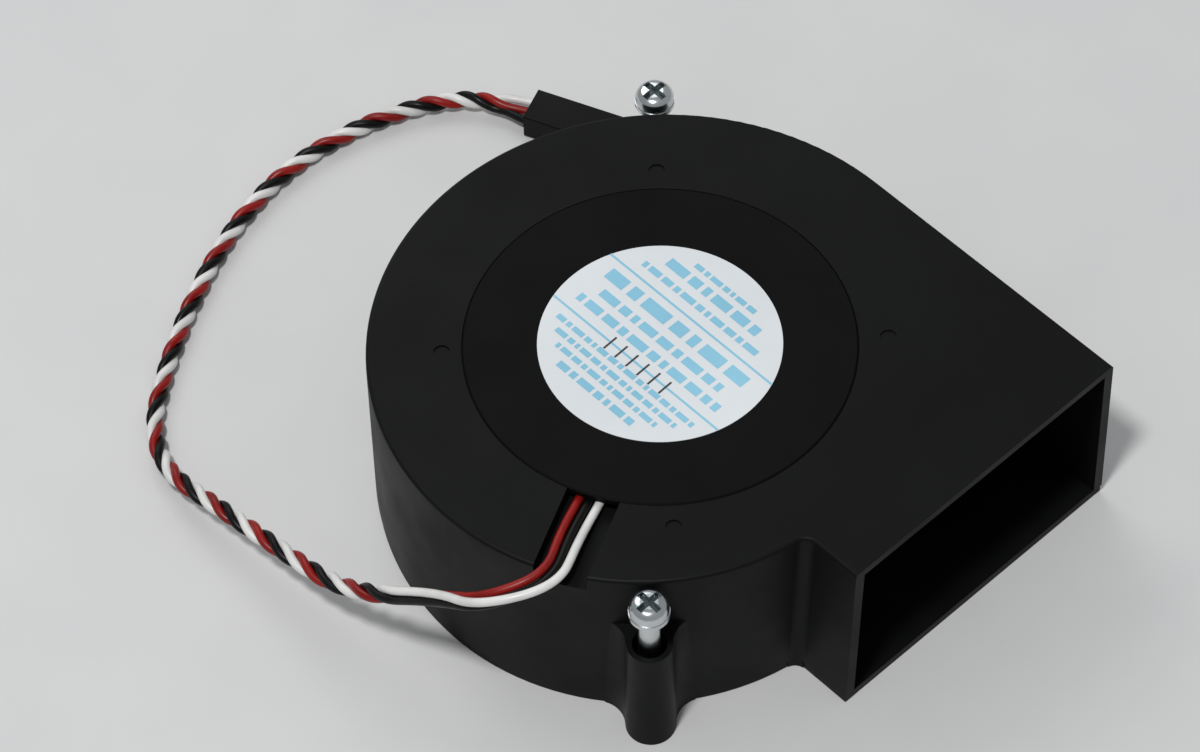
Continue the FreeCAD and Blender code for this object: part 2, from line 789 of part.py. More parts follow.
def make_insulator(label, low):
    """A star-shaped end plate of the core; the upper one carries the board on four posts."""
    made = body(label)
    ring = circle(sketch(made, label + "_ring_plan", height=low), CORE_RING_RADIUS)
    pad(made, label + "_ring", ring, "insulator_thickness")
    arm_plan = rectangle(
        sketch(made, label + "_arm_plan", height=low),
        TUBE_RADIUS,
        f"{COIL_END} + coil_gap",
        "-arm_width / 2",
        "arm_width / 2",
    )
    arm = pad(made, label + "_arm", arm_plan, "insulator_thickness")
    around(made, label + "_arms", [arm], arm_plan, "4")
    if label == "upper_insulator":
        post_plan = circle(
            sketch(made, "post_plan", height=low),
            "post_radius",
            *polar(f"{CORE_RING_RADIUS} - post_radius * 1.2", "45"),
        )
        post = pad(made, "post", post_plan, f"{BOARD_LOW} - {STACK_TOP}")
        around(made, "posts", [post], post_plan, "4")
    bore = circle(
        sketch(made, label + "_bore_plan", height=f"{low} + insulator_thickness"), TUBE_RADIUS
    )
    pocket(made, label + "_bore", bore, "insulator_thickness")


def make_windings():
    """Four coils, one round each arm."""
    coils = []
    length = f"({COIL_END} - {COIL_START})"
    middle = f"({COIL_START} + {COIL_END}) / 2"
    inner_width = "arm_width + fit_gap * 2"
    inner_height = f"({STACK_HEIGHT} + insulator_thickness * 2 + fit_gap)"
    window_low = f"{STACK_LOW} - insulator_thickness - fit_gap / 2"
    for i in range(4):
        solid = box(
            f"coil_{i}_solid",
            length,
            f"{inner_width} + coil_thickness * 2",
            f"{inner_height} + coil_thickness * 2",
            x=middle,
            z=f"{window_low} - coil_thickness",
        )
        soft = doc.addObject("Part::Fillet", f"coil_{i}_soft")
        soft.Base = solid
        doc.recompute()
        long_edges = [
            i
            for i, edge in enumerate(solid.Shape.Edges, 1)
            if abs(edge.tangentAt(edge.FirstParameter).x) > 0.999
        ]
        radius = value("coil_thickness") * 0.8
        soft.Edges = [(i, radius, radius) for i in long_edges]
        window = box(
            f"coil_{i}_window",
            f"{length} * 1.2",
            inner_width,
            inner_height,
            x=middle,
            z=window_low,
        )
        coil = doc.addObject("Part::Cut", f"coil_{i}")
        coil.Base = soft
        coil.Tool = window
        coils.append(placed(coil, turn=f"90 * {i}"))
    group("stator_windings", coils)


def make_board():
    made = body("circuit_board")
    plan = sketch(made, "board_plan", height=BOARD_LOW)
    circle(plan, "opening_radius - board_gap")
    circle(plan, f"{TUBE_RADIUS} + fit_gap")
    pad(made, "board", plan, "board_thickness")
    pin_circle = f"{CORE_RING_RADIUS} - pin_radius"
    hole_plan = circle(
        sketch(made, "pin_hole_plan", height=BOARD_TOP), "pin_radius + fit_gap / 2", pin_circle
    )
    hole = pocket(made, "pin_hole", hole_plan, "board_thickness")
    around(made, "pin_holes", [hole], hole_plan, "4")
    pins = []
    low = f"({STACK_TOP} + insulator_thickness)"
    for i in range(4):
        x, y = polar(pin_circle, f"90 * {i}")
        pins.append(rod(f"pin_{i}", "pin_radius", f"{BOARD_TOP} + pin_stand - {low}", x=x, y=y, z=low))
    group("terminal_pins", pins)


def part_box(label, length, width, height, **where):
    """A plain block that is a sub-part by itself."""
    keep(box(label, length, width, height, **where)).Label = label


def make_board_parts():
    """Surface parts on the board, and the position sensor that hangs below it at the magnet's edge."""
    part_box(
        "driver_chip",
        "chip_length",
        "chip_width",
        "chip_height",
        x="-chip_across",
        y="chip_along",
        z=BOARD_TOP,
    )
    part_box(
        "capacitor",
        "capacitor_length",
        "capacitor_width",
        "capacitor_width",
        x="-capacitor_across",
        y="-capacitor_along",
        z=BOARD_TOP,
    )
    chips = [
        box(
            f"resistor_{i}",
            "resistor_length",
            "resistor_width",
            "resistor_height",
            x=f"resistor_pitch * {i + 1}",
            y="resistor_along",
            z=BOARD_TOP,
        )
        for i in range(3)
    ]
    group("resistors", chips)
    part_box(
        "hall_sensor",
        "sensor_width",
        "sensor_length",
        "sensor_height",
        x=f"{MAGNET_INNER} * cos(45)",
        y=f"{MAGNET_INNER} * sin(45) - sensor_length / 2",
        z=f"{BOARD_LOW} - sensor_height",
    )


def make_rotor():
    tubular("magnet_ring", [(MAGNET_INNER, CUP_INNER, MAGNET_LOW, MAGNET_TOP)])
    step = "rotor_boss_radius - rotor_boss_step"
    turned(
        body("rotor_cup"),
        "cup",
        [
            (step, CUP_LOW),
            (CUP_OUTER, CUP_LOW),
            (CUP_OUTER, CUP_TOP),
            (CUP_INNER, CUP_TOP),
            (CUP_INNER, CUP_FLOOR),
            (step, CUP_FLOOR),
        ],
    )
    turned(
        body("rotor_boss"),
        "boss",
        [
            ("shaft_radius", CUP_LOW),
            (step, CUP_LOW),
            (step, CUP_FLOOR),
            ("rotor_boss_radius", CUP_FLOOR),
            ("rotor_boss_radius", ROTOR_BOSS_TOP),
            ("shaft_radius", ROTOR_BOSS_TOP),
        ],
    )
    clip_low = f"({UPPER_BEARING} + bearing_width)"
    turned(
        body("shaft"),
        "spindle",
        [
            ("0", CUP_LOW),
            ("shaft_radius", CUP_LOW),
            ("shaft_radius", clip_low),
            ("shaft_radius - groove_depth", clip_low),
            ("shaft_radius - groove_depth", f"{clip_low} + clip_thickness"),
            ("shaft_radius", f"{clip_low} + clip_thickness"),
            ("shaft_radius", f"{SHAFT_TOP} - shaft_chamfer"),
            ("shaft_radius - shaft_chamfer", SHAFT_TOP),
            ("0", SHAFT_TOP),
        ],
    )
    tubular(
        "retaining_ring",
        [("shaft_radius - groove_depth", "clip_radius", clip_low, f"{clip_low} + clip_thickness")],
    )
    tubular(
        "preload_washer",
        [("shaft_radius", "shaft_radius + ring_thickness", ROTOR_BOSS_TOP, LOWER_BEARING)],
    )


def make_impeller():
    """The hub over the rotor cup with its disc at the motor side, and the blades with their inlet ring."""
    turned(
        body("impeller_hub"),
        "hub_and_disc",
        [
            ("0", f"{CUP_LOW} - hub_nose"),
            (f"{HUB_RADIUS} - hub_nose", f"{CUP_LOW} - hub_nose"),
            (HUB_RADIUS, f"{CUP_LOW} + hub_nose * 0.6"),
            (HUB_RADIUS, DISC_LOW),
            (IMPELLER_RADIUS, DISC_LOW),
            (IMPELLER_RADIUS, CUP_TOP),
            (CUP_OUTER, CUP_TOP),
            (CUP_OUTER, CUP_LOW),
            ("0", CUP_LOW),
        ],
    )
    made = body("blade_ring")
    plan = sketch(made, "blade_plan", height=IMPELLER_LOW)
    inner, outer = value(BLADE_INNER), value(BLADE_OUTER)
    curve, half = value("blade_curve"), value("blade_thickness") / 2
    sweep = math.radians(value("blade_sweep"))
    chord_start = Vector(inner, 0, 0)
    centre = chord_start + Vector(curve * math.sin(sweep), -curve * math.cos(sweep), 0)

    def crossing(radius, reach):
        """Where a circle about the blade's centre meets a circle about the axis, on the outer side."""
        away = centre.Length
        base = math.atan2(centre.y, centre.x)
        spread = math.acos((away**2 + reach**2 - radius**2) / (2 * away * reach))
        point = base + spread
        return Vector(reach * math.cos(point), reach * math.sin(point), 0)

    tips = ((half, inner), (half, outer), (-half, outer), (-half, inner))
    corners = [crossing(curve + side, reach) for side, reach in tips]

    def angle(point):
        return math.atan2(point.y - centre.y, point.x - centre.x)

    up = Vector(0, 0, 1)
    for side, first, last in ((half, corners[0], corners[1]), (-half, corners[3], corners[2])):
        whole = Part.Circle(centre, up, curve + side)
        plan.addGeometry(Part.ArcOfCircle(whole, angle(last), angle(first)), False)
    plan.addGeometry(Part.LineSegment(corners[1], corners[2]), False)
    plan.addGeometry(Part.LineSegment(corners[3], corners[0]), False)
    for joint in [
        ("Coincident", 0, 3, 1, 3),
        ("Coincident", 0, 1, 2, 1),
        ("Coincident", 1, 1, 2, 2),
        ("Coincident", 1, 2, 3, 1),
        ("Coincident", 0, 2, 3, 2),
    ]:
        plan.addConstraint(Sketcher.Constraint(*joint))
    constrain(plan, f"{BLADE_INNER} + blade_curve * sin(blade_sweep)", "DistanceX", 0, 3, centre.x)
    constrain(plan, "-blade_curve * cos(blade_sweep)", "DistanceY", 0, 3, centre.y)
    constrain(plan, "blade_curve + blade_thickness / 2", "Radius", 0, curve + half)
    constrain(plan, "blade_curve - blade_thickness / 2", "Radius", 1, curve - half)
    for end, reach in [(2, BLADE_INNER), (1, BLADE_OUTER)]:
        for arc in (0, 1):
            constrain(plan, reach, "Distance", arc, end, -1, 1, value(reach))
    ring = sketch(made, "ring_plan", height=IMPELLER_LOW)
    circle(ring, IMPELLER_RADIUS)
    circle(ring, f"{IMPELLER_RADIUS} - ring_width")
    pad(made, "inlet_ring", ring, "ring_height")
    blade = pad(made, "blade", plan, f"{DISC_LOW} - {IMPELLER_LOW}")
    around(made, "blades", [blade], plan, "blade_count")


def make_screws():
    """A pan-head screw with a cross recess and a captive washer, standing in each boss."""
    washer_top = f"({SCREW_LENGTH} + washer_thickness)"
    head_top = f"({washer_top} + head_height)"
    half, long_half = "recess_width / 2", "recess_length / 2"
    for side, (across, along) in BOSSES.items():
        washer = body(side + "_washer")
        turned(
            washer,
            side + "_washer_ring",
            [
                (NECK_RADIUS, SCREW_LENGTH),
                ("washer_radius", SCREW_LENGTH),
                ("washer_radius", washer_top),
                (NECK_RADIUS, washer_top),
            ],
        )
        placed(washer, across, along)
        screw = body(side + "_screw")
        last = turned(
            screw,
            side + "_screw_solid",
            [
                ("0", "0"),
                ("shank_radius - point_chamfer", "0"),
                ("shank_radius", "point_chamfer"),
                ("shank_radius", washer_top),
                ("head_radius", washer_top),
                ("head_radius", head_top),
                ("0", head_top),
            ],
        )
        doc.recompute()
        top = value(head_top)
        crown = [
            f"Edge{i}"
            for i, edge in enumerate(last.Shape.Edges, 1)
            if edge.Closed and abs(edge.CenterOfMass.z - top) < 1e-4
        ]
        rounded(screw, side + "_crown", last, crown, "head_round")
        recess = sketch(screw, side + "_recess_plan", height=head_top)
        polygon(
            recess,
            [
                (long_half, f"-{half}"),
                (long_half, half),
                (half, half),
                (half, long_half),
                (f"-{half}", long_half),
                (f"-{half}", half),
                (f"-{long_half}", half),
                (f"-{long_half}", f"-{half}"),
                (f"-{half}", f"-{half}"),
                (f"-{half}", f"-{long_half}"),
                (half, f"-{long_half}"),
                (half, f"-{half}"),
            ],
        )
        pocket(screw, side + "_recess", recess, "recess_depth")
        placed(screw, across, along)


# Lead and plug
def rounded_path(points):
    """Straight runs joined by tangent arcs, each as large as its two runs allow; prints the smallest."""
    points = [Vector(*p) for p in points]
    edges, start, least = [], points[0], 1e9
    for before, corner, after in zip(points, points[1:], points[2:]):
        back, ahead = (before - corner), (after - corner)
        run = min(back.Length, ahead.Length)
        half_turn = (math.pi - back.getAngle(ahead)) / 2
        radius = 0.45 * run / math.tan(half_turn)
        least = min(least, radius)
        back.normalize()
        ahead.normalize()
        cut = 0.45 * run
        to_centre = back + ahead
        to_centre.normalize()
        middle = corner + to_centre * (radius / math.cos(half_turn) - radius)
        first, last = corner + back * cut, corner + ahead * cut
        edges.append(Part.LineSegment(start, first).toShape())
        edges.append(Part.Arc(first, middle, last).toShape())
        start = last
    edges.append(Part.LineSegment(start, points[-1]).toShape())
    return Part.Wire(edges), least


def tube(label, points, radius):
    path, least = rounded_path(points)
    start = Vector(*points[0])
    direction = Vector(*points[1]) - start
    section = Part.Wire([Part.Circle(start, direction, radius).toShape()])
    solid = path.makePipeShell([section], True, False)
    made = doc.addObject("Part::Feature", label)
    made.Label = label
    made.Shape = solid
    share = solid.Volume / (math.pi * radius**2 * path.Length)
    print(f"{label}: {path.Length:.1f} mm long, least radius {least:.1f} mm, volume share {share:.3f}")
    return keep(made)


def make_lead():
    """Three wires side by side, then one twist of the three."""
    tube("red_lead", RED_ROUTE, value("wire_radius"))
    tube("black_lead", BLACK_ROUTE, value("wire_radius"))
    tube("white_lead", WHITE_ROUTE, value("wire_radius"))
    tube("twisted_lead", TWISTED_ROUTE, value("twist_radius"))


def make_plug():
    """A three-way socket housing on the lead's end, with its three contacts."""
    end = Vector(*TWISTED_ROUTE[-1])
    run = end - Vector(*TWISTED_ROUTE[-2])
    turn = math.degrees(math.atan2(run.y, run.x))
    place = FreeCAD.Placement(Vector(end.x, end.y, 0), FreeCAD.Rotation(Vector(0, 0, 1), turn))
    made = body("plug_housing")
    side = f"{PLUG_WIDTH} / 2"
    plan = rectangle(sketch(made, "plug_plan"), "0", "plug_length", f"-{side}", side)
    pad(made, "plug_block", plan, "plug_height")
    doc.recompute()
    block = made.Tip
    long_edges = [
        f"Edge{i}"
        for i, edge in enumerate(block.Shape.Edges, 1)
        if abs(edge.tangentAt(edge.FirstParameter).x) > 0.999
    ]
    rounded(made, "plug_rounds", block, long_edges, "plug_round")
    mouths = sketch(made, "mouth_plan", "YZ_Plane", height="plug_length")
    half = "contact_size / 2 + fit_gap"
    for i in (-1, 0, 1):
        centre = f"contact_pitch * {i}"
        rectangle(
            mouths,
            f"{centre} - ({half})",
            f"{centre} + ({half})",
            f"plug_height / 2 - ({half})",
            f"plug_height / 2 + ({half})",
        )
    pocket(made, "mouths", mouths, "contact_depth")
    made.Placement = place
    contacts = []
    for i in (-1, 0, 1):
        metal = box(
            f"contact_{i + 1}",
            "contact_depth * 0.8",
            "contact_size",
            "contact_size",
            x="plug_length - contact_depth * 0.6",
            y=f"contact_pitch * {i}",
            z="plug_height / 2 - contact_size / 2",
        )
        contacts.append(metal)
    group("plug_contacts", contacts).Placement = place


make_housing()
make_inlet_cover()
make_motor_plate()
make_label()
make_bearing_tube()
make_bearings()
make_stator_core()
make_insulator("lower_insulator", f"{STACK_LOW} - insulator_thickness")
make_insulator("upper_insulator", STACK_TOP)
make_windings()
make_board()
make_board_parts()
make_rotor()
make_impeller()
make_screws()
make_lead()
make_plug()
doc.recompute()

for item in doc.Objects:
    if "Invalid" in item.State or "Error" in item.State:
        raise RuntimeError(f"{item.Label} failed: {item.State}")
for node in nodes:
    if node.Shape.isNull() or not node.Shape.isValid() or not node.Shape.Solids:
        raise RuntimeError(f"{node.Label} has no valid solid")

os.makedirs("parts", exist_ok=True)
for node in nodes:
    node.Shape.exportStep(f"parts/{node.Label}.step")
print(len(nodes), "sub-parts")
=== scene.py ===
"""The blower as it is photographed: finishes, label print, three twisted wires, floor, light and camera.

Metres, in the row frame: the origin on the impeller's axis at the base, +Z up to the motor side, and the air
leaves along +X.
"""

import json
import math

import bmesh
import bpy
from mathutils import Matrix, Vector


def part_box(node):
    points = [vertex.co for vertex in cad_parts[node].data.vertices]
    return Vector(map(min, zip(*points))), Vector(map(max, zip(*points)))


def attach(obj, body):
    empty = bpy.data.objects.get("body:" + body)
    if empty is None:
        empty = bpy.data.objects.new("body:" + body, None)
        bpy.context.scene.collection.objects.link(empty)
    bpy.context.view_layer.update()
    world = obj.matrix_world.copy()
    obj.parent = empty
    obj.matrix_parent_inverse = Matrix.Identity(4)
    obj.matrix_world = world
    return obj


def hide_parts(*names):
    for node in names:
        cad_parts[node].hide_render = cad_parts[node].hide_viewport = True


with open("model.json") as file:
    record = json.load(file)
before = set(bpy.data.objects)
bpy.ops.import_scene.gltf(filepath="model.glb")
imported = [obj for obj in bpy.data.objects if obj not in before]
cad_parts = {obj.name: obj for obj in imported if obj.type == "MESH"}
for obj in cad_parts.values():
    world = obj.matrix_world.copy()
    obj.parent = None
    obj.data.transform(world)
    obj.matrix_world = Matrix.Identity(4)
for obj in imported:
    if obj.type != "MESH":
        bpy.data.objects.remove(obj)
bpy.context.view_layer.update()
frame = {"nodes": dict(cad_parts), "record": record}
MM = 0.001

# The camera stands where the photograph's did
LOOK_AT = Vector((-11.1, -2.6, 16.5)) * MM
CAMERA_DISTANCE = 847.7 * MM
CAMERA_AZIMUTH = math.radians(47.45)
CAMERA_ELEVATION = math.radians(53.17)
CAMERA_ROLL = math.radians(-1.54)
CAMERA_LENS = 161.0

# Routes of the wires and of their twist, as the part has them
RED_ROUTE = [
    (6.1, -15.9, 30.7),
    (8.8, -21.8, 30.8),
    (11.4, -28.1, 31.0),
    (15.0, -35.9, 32.3),
    (19.3, -42.7, 33.3),
    (14.3, -51.6, 30.9),
    (7.2, -52.5, 25.5),
    (-0.2, -54.1, 19.6),
]
BLACK_ROUTE = [
    (7.6, -15.2, 30.7),
    (10.3, -21.2, 30.8),
    (12.9, -27.5, 31.0),
    (16.4, -35.2, 32.3),
    (20.9, -42.8, 32.9),
    (15.5, -52.5, 30.0),
    (7.5, -54.0, 25.5),
    (0.1, -55.6, 19.6),
]
WHITE_ROUTE = [
    (9.1, -14.5, 30.7),
    (11.8, -20.6, 30.8),
    (14.4, -26.9, 31.0),
    (17.8, -34.5, 32.3),
    (22.5, -43.0, 33.7),
    (15.3, -53.6, 31.7),
    (6.6, -53.4, 26.5),
    (-0.8, -55.0, 20.6),
]
TWISTED_ROUTE = [
    (-0.3, -54.9, 19.9),
    (-10.7, -57.1, 11.6),
    (-26.0, -57.5, 8.3),
    (-40.5, -58.0, 5.8),
    (-53.0, -58.5, 3.3),
    (-62.5, -53.5, 1.8),
    (-70.5, -43.0, 1.7),
    (-78.0, -30.5, 1.7),
    (-84.0, -17.0, 1.7),
    (-87.0, -2.5, 1.7),
    (-85.5, 11.5, 1.7),
    (-81.0, 23.5, 1.9),
    (-74.7, 31.0, 2.6),
    (-66.6, 34.4, 2.6),
]
WIRE_RADIUS = 0.7 * MM
WIRE_SIDES = 14
STRAND_OFFSET = 0.87 * MM
# The twist: its pitch, which is longer over its first part, its start and its end in the plug
TWIST_PITCH = 9.8 * MM
LOOSE_LENGTH = 50.0 * MM
LOOSENING = 0.3
WIND_UP = 7.0 * MM
WIND_UP_START = 0.15
FAN_OUT = 9.0 * MM
ENTRY_SPACING = 2.0 * MM
# Steps along a route and along a wire, and how often a wire's line is smoothed
ROUTE_STEP = 0.45 * MM
WIRE_STEP = 0.5 * MM
SMOOTHING_PASSES = 6

# A dark cross of painted shade in each screw's recess, and how far it lies below the head's top
RECESS_LENGTH = 4.0 * MM
RECESS_WIDTH = 1.0 * MM
RECESS_SHADE = 0.9 * MM

# Rows of the label print: middle, height and half width, in millimetres
LABEL_ROWS = [
    (14.6, 1.0, 7.0),
    (12.1, 1.8, 10.5),
    (9.1, 1.2, 13.0),
    (3.9, 2.3, 15.5),
    (0.4, 1.6, 13.5),
    (-2.6, 1.6, 15.5),
    (-7.6, 1.0, 15.0),
    (-9.6, 1.0, 13.2),
    (-11.6, 1.0, 11.0),
    (-13.9, 1.3, 8.2),
]
# Lengths of the blocks in a row and the gap between them, in heights of the row
BLOCK_LENGTHS = (1.7, 0.9, 2.3, 1.2, 0.7, 2.0)
BLOCK_GAP = 0.45
SHORTEST_BLOCK = 0.6
# The two rules, and the row of stamped ticks: (x, y, length, width, slant), in millimetres and degrees
LABEL_RULES = [(-17.9, 6.6, 35.8, 0.4, 0), (-18.2, -5.4, 36.4, 0.4, 0)]
STAMP_TICKS = [(-5.3 + 2.43 * i, -7.0, 2.9, 0.34, 92) for i in range(6)]
PRINT_LIFT = 0.02 * MM
STAMP_LIFT = 0.03 * MM

FLOOR_REACH = 3.0
FLOOR_DROP = 0.1 * MM
GRAIN_HEIGHT = 0.04 * MM
FINE_HEIGHT = 0.03 * MM


# Camera and light
def add_camera():
    back = Vector(
        (
            math.sin(CAMERA_AZIMUTH) * math.cos(CAMERA_ELEVATION),
            -math.cos(CAMERA_AZIMUTH) * math.cos(CAMERA_ELEVATION),
            math.sin(CAMERA_ELEVATION),
        )
    )
    right = Vector((0, 0, 1)).cross(back).normalized()
    up = back.cross(right)
    tilt = Matrix.Rotation(CAMERA_ROLL, 3, back)
    turn = Matrix((tilt @ right, tilt @ up, back)).transposed()
    lens = bpy.data.cameras.new("camera")
    lens.lens = CAMERA_LENS
    lens.clip_start = 0.05
    made = bpy.data.objects.new("camera", lens)
    bpy.context.scene.collection.objects.link(made)
    made.matrix_world = Matrix.Translation(LOOK_AT + back * CAMERA_DISTANCE) @ turn.to_4x4()
    bpy.context.scene.camera = made


def add_lamp(name, place, aim, width, watts):
    light = bpy.data.lights.new(name, "AREA")
    light.shape = "DISK"
    light.size = width
    light.energy = watts
    made = bpy.data.objects.new(name, light)
    bpy.context.scene.collection.objects.link(made)
    made.location = place
    made.rotation_euler = (Vector(aim) - Vector(place)).to_track_quat("-Z", "Y").to_euler()


# Materials
def new_material(name, roughness, metallic=0.0, specular=0.5):
    made = bpy.data.materials.new(name)
    made.use_nodes = True
    shader = made.node_tree.nodes["Principled BSDF"]
    shader.inputs["Roughness"].default_value = roughness
    shader.inputs["Metallic"].default_value = metallic
    shader.inputs["Specular IOR Level"].default_value = specular
    return made, made.node_tree, shader


def noise(tree, scale, detail=3.0, stretch=(1, 1, 1)):
    """A noise texture in the piece's own metres."""
    coords = tree.nodes.new("ShaderNodeTexCoord")
    mapping = tree.nodes.new("ShaderNodeMapping")
    mapping.inputs["Scale"].default_value = stretch
    made = tree.nodes.new("ShaderNodeTexNoise")
    made.inputs["Scale"].default_value = scale
    made.inputs["Detail"].default_value = detail
    tree.links.new(coords.outputs["Object"], mapping.inputs["Vector"])
    tree.links.new(mapping.outputs["Vector"], made.inputs["Vector"])
    return made.outputs["Fac"]


def ramp(tree, source, stops):
    made = tree.nodes.new("ShaderNodeValToRGB")
    elements = made.color_ramp.elements
    while len(elements) < len(stops):
        elements.new(0.5)
    for element, (place, colour) in zip(elements, stops):
        element.position = place
        element.color = (*colour, 1) if len(colour) == 3 else colour
    tree.links.new(source, made.inputs["Fac"])
    return made.outputs["Color"]


def grey(value):
    return (value, value, value)


def relief(tree, shader, source, strength, height):
    bump = tree.nodes.new("ShaderNodeBump")
    bump.inputs["Strength"].default_value = strength
    bump.inputs["Distance"].default_value = height
    tree.links.new(source, bump.inputs["Height"])
    tree.links.new(bump.outputs["Normal"], shader.inputs["Normal"])


def plastic(name, dark, light, roughness, grain=900, strength=0.25, specular=0.5):
    """Moulded plastic: a fine grain, and a soft change of tone and gloss."""
    made, tree, shader = new_material(name, roughness, specular=specular)
    tone = ramp(tree, noise(tree, 38, 4), [(0.35, dark), (0.65, light)])
    tree.links.new(tone, shader.inputs["Base Color"])
    gloss = ramp(
        tree, noise(tree, 90, 3), [(0.3, grey(roughness - 0.06)), (0.7, grey(roughness + 0.06))]
    )
    tree.links.new(gloss, shader.inputs["Roughness"])
    relief(tree, shader, noise(tree, grain, 2), strength, GRAIN_HEIGHT)
    return made


def metal(name, dark, light, roughness, stretch=(1, 1, 1), grain=700, strength=0.12):
    """Metal with fine marks, drawn out along the directions where stretch is small."""
    made, tree, shader = new_material(name, roughness, metallic=1.0)
    tone = ramp(tree, noise(tree, 160, 4, stretch), [(0.3, dark), (0.7, light)])
    tree.links.new(tone, shader.inputs["Base Color"])
    gloss = ramp(
        tree,
        noise(tree, 260, 3, stretch),
        [(0.3, grey(roughness * 0.8)), (0.7, grey(roughness * 1.3))],
    )
    tree.links.new(gloss, shader.inputs["Roughness"])
    relief(tree, shader, noise(tree, grain, 2, stretch), strength, FINE_HEIGHT)
    return made


def sleeve(name, dark, light, roughness=0.34, specular=0.5):
    """Soft wire insulation, with faint scuffs."""
    made, tree, shader = new_material(name, roughness, specular=specular)
    tone = ramp(tree, noise(tree, 210, 4), [(0.32, dark), (0.62, light)])
    tree.links.new(tone, shader.inputs["Base Color"])
    gloss = ramp(
        tree, noise(tree, 420, 3), [(0.3, grey(roughness - 0.06)), (0.75, grey(roughness + 0.16))]
    )
    tree.links.new(gloss, shader.inputs["Roughness"])
    relief(tree, shader, noise(tree, 1500, 2), 0.15, FINE_HEIGHT)
    return made


MATERIALS = {
    "casing_plastic": plastic(
        "casing_plastic", grey(0.0024), (0.0034, 0.0037, 0.0038), 0.5, specular=0.12
    ),
    "plate_plastic": plastic(
        "plate_plastic", grey(0.0019), grey(0.0024), 0.6, strength=0.15, specular=0.09
    ),
    "label_paper": plastic(
        "label_paper", (0.63, 0.66, 0.68), (0.68, 0.71, 0.73), 0.42, grain=1400, strength=0.08
    ),
    "label_ink": plastic("label_ink", (0.2, 0.47, 0.62), (0.26, 0.55, 0.7), 0.45, strength=0.08),
    "stamp_ink": plastic("stamp_ink", grey(0.02), grey(0.04), 0.5, strength=0.08),
    "brass": metal("brass", (0.6, 0.42, 0.18), (0.72, 0.53, 0.26), 0.3, (1, 1, 0.1)),
    "bearing_steel": metal("bearing_steel", grey(0.55), grey(0.68), 0.16),
    "core_steel": metal("core_steel", grey(0.2), grey(0.32), 0.42, (0.1, 0.1, 18)),
    "insulator_plastic": plastic("insulator_plastic", (0.55, 0.52, 0.42), (0.66, 0.63, 0.53), 0.5),
    "copper_winding": metal(
        "copper_winding", (0.45, 0.14, 0.05), (0.62, 0.24, 0.1), 0.32, (0.15, 0.15, 6), strength=0.6
    ),
    "board": plastic("board", (0.008, 0.06, 0.025), (0.012, 0.09, 0.04), 0.35),
    "chip": plastic("chip", grey(0.01), grey(0.018), 0.5),
    "tin": metal("tin", grey(0.5), grey(0.66), 0.3),
    "magnet": plastic("magnet", (0.02, 0.018, 0.016), (0.035, 0.03, 0.027), 0.6, strength=0.5),
    "rotor_steel": metal("rotor_steel", grey(0.3), grey(0.42), 0.32, (1, 1, 0.08)),
    "spring_steel": metal("spring_steel", grey(0.32), grey(0.45), 0.28),
    "impeller_plastic": plastic("impeller_plastic", grey(0.007), grey(0.0105), 0.45),
    "screw_zinc": metal(
        "screw_zinc", (0.52, 0.56, 0.58), (0.74, 0.76, 0.76), 0.2, grain=1100, strength=0.1
    ),
    "red_wire": sleeve("red_wire", (0.175, 0.0035, 0.0025), (0.26, 0.007, 0.0045), specular=0.3),
    "black_wire": sleeve("black_wire", grey(0.002), grey(0.0034), specular=0.18),
    "white_wire": sleeve("white_wire", (0.6, 0.6, 0.58), (0.72, 0.72, 0.7)),
    "twisted_wires": sleeve("twisted_wires", (0.2, 0.06, 0.05), (0.3, 0.1, 0.08)),
    "plug_plastic": plastic(
        "plug_plastic", grey(0.0027), (0.0042, 0.0042, 0.004), 0.5, specular=0.12
    ),
    # Painted shade: the dark of the screws' cross recesses
    "recess_shade": metal("recess_shade", (0.06, 0.08, 0.085), (0.12, 0.15, 0.155), 0.45),
    "floor": plastic("floor", grey(0.59), (0.61, 0.61, 0.605), 0.6, grain=300, strength=0.05),
}


def finish_nodes():
    """Gives each piece of the frame the finish of its slot."""
    slots = {s["node"]: s["material_slot"] for s in frame["record"]["subparts"]}
    for name, piece in frame["nodes"].items():
        piece.data.materials.clear()
        piece.data.materials.append(MATERIALS[slots[name]])


def even_triangles(node):
    """Turns the edges between a piece's triangles the better way, so that its rounded rim runs evenly."""
    mesh = frame["nodes"][node].data
    form = bmesh.new()
    form.from_mesh(mesh)
    bmesh.ops.beautify_fill(form, faces=form.faces, edges=form.edges, method="ANGLE")
    form.to_mesh(mesh)
    form.free()


def new_object(name, mesh, finish, body="casing"):
    made = bpy.data.objects.new(name, mesh)
    bpy.context.scene.collection.objects.link(made)
    made.data.materials.append(MATERIALS[finish])
    if body:
        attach(made, body)
    return made


# Wires
def follow(route):
    """Points close together along the smooth curve of a route."""
    curve = bpy.data.curves.new("route", "CURVE")
    curve.dimensions = "3D"
    curve.resolution_u = 24
    spline = curve.splines.new("NURBS")
    spline.points.add(len(route) - 1)
    for point, place in zip(spline.points, route):
        point.co = (*(Vector(place) * MM), 1)
    spline.order_u = 3
    spline.use_endpoint_u = True
    holder = bpy.data.objects.new("route", curve)
    bpy.context.scene.collection.objects.link(holder)
    line = bpy.data.meshes.new_from_object(holder)
    points = [v.co.copy() for v in line.vertices]
    bpy.data.objects.remove(holder)
    bpy.data.curves.remove(curve)
    bpy.data.meshes.remove(line)
    return points


def evenly(points, step):
    """The same line with points a step apart, and the step that it came to."""
    reach = [0.0]
    for a, b in zip(points, points[1:]):
        reach.append(reach[-1] + (b - a).length)
    count = max(2, round(reach[-1] / step))
    found, i = [], 0
    for k in range(count + 1):
        goal = reach[-1] * k / count
        while i < len(points) - 2 and reach[i + 1] < goal:
            i += 1
        part = (goal - reach[i]) / max(reach[i + 1] - reach[i], 1e-9)
        found.append(points[i].lerp(points[i + 1], min(max(part, 0), 1)))
    return found, reach[-1] / count


